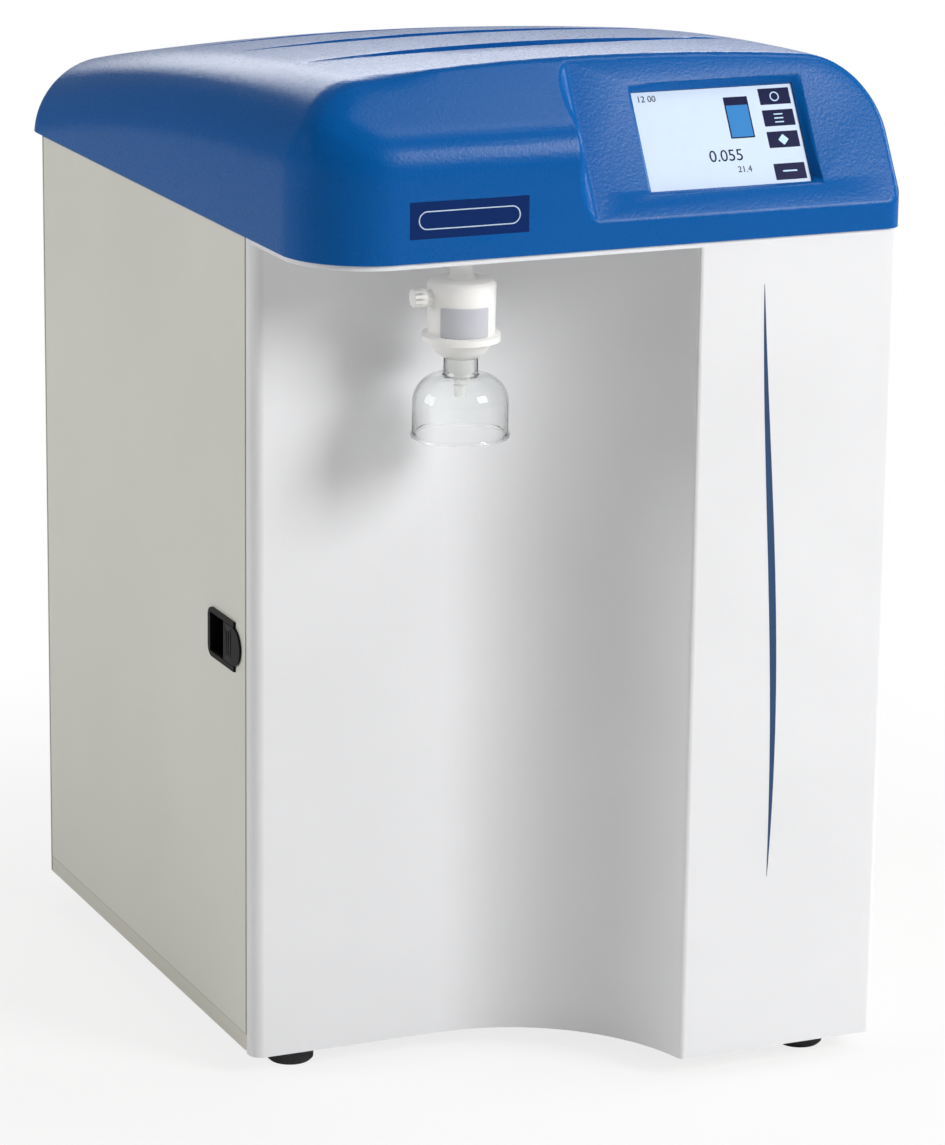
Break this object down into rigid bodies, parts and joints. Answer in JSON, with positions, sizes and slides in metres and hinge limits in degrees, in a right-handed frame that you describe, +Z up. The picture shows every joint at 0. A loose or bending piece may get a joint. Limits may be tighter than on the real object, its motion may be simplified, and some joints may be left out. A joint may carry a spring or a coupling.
{
  "type": "ultrapure water system",
  "caption": "Bench water purifier cabinet with a side service door, a concave dispense recess with filter capsule and clear bell, and a curved cover carrying a touch screen.",
  "frame": {"origin": "on the bench surface, under the middle of the whole object", "axes": "+Z up, +X to the object's right seen from the front, front (display and dispense recess) towards -Y"},
  "size_m": [0.353, 0.4856, 0.5848],
  "materials": {
    "fascia_shell": "smooth off-white moulding",
    "cover_shell": "semi-gloss blue moulding",
    "panel_paint": "fine-textured light grey paint",
    "frame_steel": "bare zinc-coated sheet",
    "steel": "polished stainless",
    "screw_steel": "plain",
    "black_plastic": "fine texture",
    "bush_plastic": "natural",
    "magnet": "plain",
    "strip_film": "printed membrane",
    "screen_glass": "clear",
    "lcd": "plain",
    "board": "green laminate",
    "white_plastic": "smooth",
    "filter_clear": "clear moulding",
    "membrane": "pleated membrane",
    "bell_clear": "clear moulding",
    "cartridge_plastic": "smooth",
    "head_plastic": "fine texture",
    "motor_steel": "satin",
    "tube_plastic": "translucent",
    "rubber": "matt",
    "grey_plastic": "fine texture"
  },
  "bodies": {
    "cabinet": {"front_fascia": "fascia_shell", "base_tray": "frame_steel", "top_deck": "frame_steel", "front_left_post": "frame_steel", "front_right_post": "frame_steel", "rear_left_post": "frame_steel", "rear_right_post": "frame_steel", "back_panel": "panel_paint", "right_side_panel": "panel_paint", "door_hinge_pins": "steel", "door_magnet": "magnet", "top_cover": "cover_shell", "name_strip": "strip_film", "screen_glass": "screen_glass", "screen_lcd": "lcd", "screen_board": "board", "screen_screws": "screw_steel", "outlet_fitting": "white_plastic", "filter_upper_housing": "filter_clear", "filter_lower_housing": "white_plastic", "filter_element": "membrane", "filling_bell": "bell_clear", "mounting_plate": "frame_steel", "front_cartridge_head": "head_plastic", "rear_cartridge_head": "head_plastic", "head_bracket": "frame_steel", "lamp_chamber": "steel", "lamp_chamber_caps": "black_plastic", "lamp_chamber_clips": "grey_plastic", "pump_motor": "motor_steel", "pump_head": "black_plastic", "pump_cradle": "rubber", "power_supply": "frame_steel", "main_board": "board", "inlet_valve": "white_plastic", "inlet_valve_bracket": "frame_steel", "dispense_valve": "white_plastic", "resistivity_cell": "grey_plastic", "process_tubes": "tube_plastic", "feed_water_port": "grey_plastic", "reservoir_port": "grey_plastic", "drain_port": "grey_plastic", "mains_inlet": "black_plastic", "switch_body": "black_plastic", "back_screws": "screw_steel", "rubber_feet": "rubber", "foot_screws": "screw_steel"},
    "door": {"side_door": "panel_paint", "door_hinge_bushes": "bush_plastic", "latch_body": "black_plastic"},
    "latch": {"latch_slide": "black_plastic"},
    "vent_cap": {"filter_vent_cap": "white_plastic"},
    "front_filter": {"front_cartridge": "cartridge_plastic"},
    "rear_filter": {"rear_cartridge": "cartridge_plastic"},
    "feed_collet": {"feed_water_collet": "white_plastic"},
    "reservoir_collet_body": {"reservoir_collet": "white_plastic"},
    "drain_collet_body": {"drain_collet": "white_plastic"},
    "fuse_holder": {"fuse_drawer": "black_plastic"},
    "rocker": {"switch_rocker": "black_plastic"}
  },
  "joints": [
    {"name": "door_swing", "type": "hinge", "parent": "cabinet", "child": "door", "pos_m": [-0.168, 0.18375, 0.2546], "axis": [0, 0, -1], "range_deg": [0, 105]},
    {"name": "latch_pull", "type": "slide", "parent": "door", "child": "latch", "axis": [0, 1, 0], "range_m": [0, 0.008], "stiffness_N_per_m": 300, "springref_m": -0.004},
    {"name": "vent_cap_turn", "type": "hinge", "parent": "cabinet", "child": "vent_cap", "pos_m": [-0.098, -0.19925, 0.4587], "axis": [1, 0, 0], "range_deg": [0, 90]},
    {"name": "front_cartridge_twist", "type": "hinge", "parent": "cabinet", "child": "front_filter", "pos_m": [-0.099, -0.06725, 0.2], "axis": [0, 0, 1], "range_deg": [0, 45]},
    {"name": "rear_cartridge_twist", "type": "hinge", "parent": "cabinet", "child": "rear_filter", "pos_m": [-0.099, 0.03275, 0.2], "axis": [0, 0, 1], "range_deg": [0, 45]},
    {"name": "feed_collet_press", "type": "slide", "parent": "cabinet", "child": "feed_collet", "axis": [0, -1, 0], "range_m": [0, 0.0015], "stiffness_N_per_m": 900, "springref_m": -0.0008},
    {"name": "reservoir_collet_press", "type": "slide", "parent": "cabinet", "child": "reservoir_collet_body", "axis": [0, -1, 0], "range_m": [0, 0.0015], "stiffness_N_per_m": 900, "springref_m": -0.0008},
    {"name": "drain_collet_press", "type": "slide", "parent": "cabinet", "child": "drain_collet_body", "axis": [0, -1, 0], "range_m": [0, 0.0015], "stiffness_N_per_m": 900, "springref_m": -0.0008},
    {"name": "fuse_drawer_slide", "type": "slide", "parent": "cabinet", "child": "fuse_holder", "axis": [0, 1, 0], "range_m": [0, 0.016]},
    {"name": "switch_rock", "type": "hinge", "parent": "cabinet", "child": "rocker", "pos_m": [0.085, 0.20575, 0.1385], "axis": [1, 0, 0], "range_deg": [-16, 0]}
  ]
}
